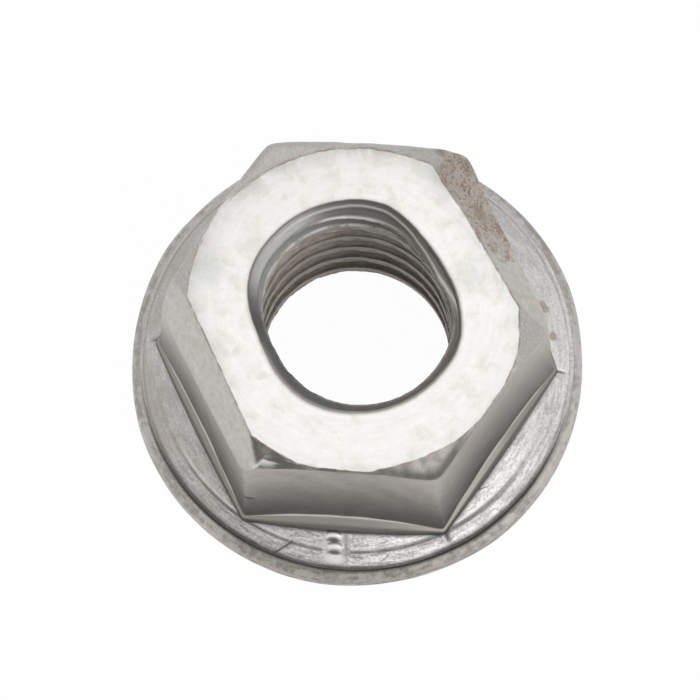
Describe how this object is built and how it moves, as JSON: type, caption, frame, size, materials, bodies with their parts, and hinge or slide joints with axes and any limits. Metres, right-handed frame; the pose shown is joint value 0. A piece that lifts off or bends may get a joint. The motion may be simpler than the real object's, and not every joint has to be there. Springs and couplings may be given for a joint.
{
  "type": "hexagon flange lock nut",
  "caption": "Steel hexagon nut forged with a round flange; two opposite flats are pressed in at the top, so that the threaded bore grips the screw.",
  "frame": {"origin": "centre of the flange's bearing face, on the thread's axis", "axes": "+Z along the thread's axis, from the bearing face to the top face; +X through a corner of the hexagon; the pressed flats face 30 and 210 degrees from +X"},
  "size_m": [0.0188, 0.0188, 0.0095],
  "materials": {
    "bare_steel": "bare forged steel: ground satin top face, brushed and streaked flange, mid-grey flats, rust specks on one pressed flat, dark brown-grey thread"
  },
  "bodies": {
    "root": {"flange_nut": "bare_steel"}
  },
  "joints": []
}
